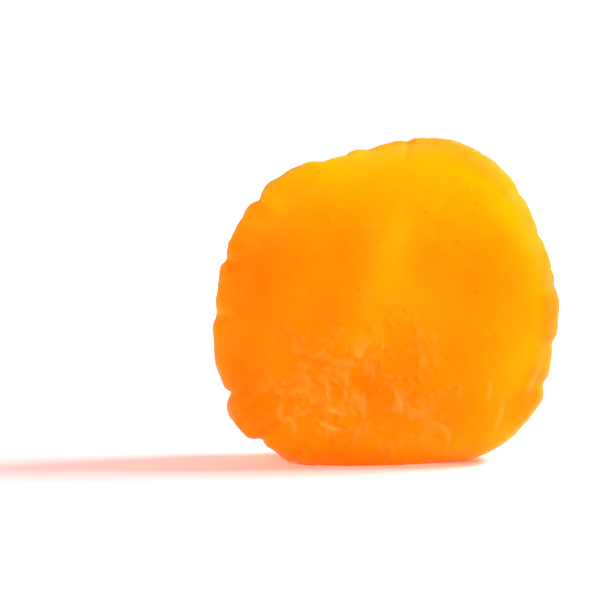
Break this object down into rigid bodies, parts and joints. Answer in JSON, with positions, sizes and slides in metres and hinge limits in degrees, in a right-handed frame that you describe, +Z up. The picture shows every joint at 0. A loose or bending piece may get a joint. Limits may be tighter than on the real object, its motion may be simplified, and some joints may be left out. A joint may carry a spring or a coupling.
{
  "type": "dried apricot",
  "caption": "Stoned dried apricot, a thick wrinkled disc of soft fruit with a plump rim and sunken middle, standing on a flat spot on its edge.",
  "frame": {"origin": "middle of the bounding box in X and Y, on the surface the apricot stands on", "axes": "+Z up, -Y out of the front face with the suture, X across the disc"},
  "size_m": [0.0402, 0.0118, 0.0376],
  "materials": {
    "apricot_skin": "soft translucent orange fruit skin, satin sheen on fine wrinkles"
  },
  "bodies": {
    "root": {"apricot": "apricot_skin"}
  },
  "joints": []
}
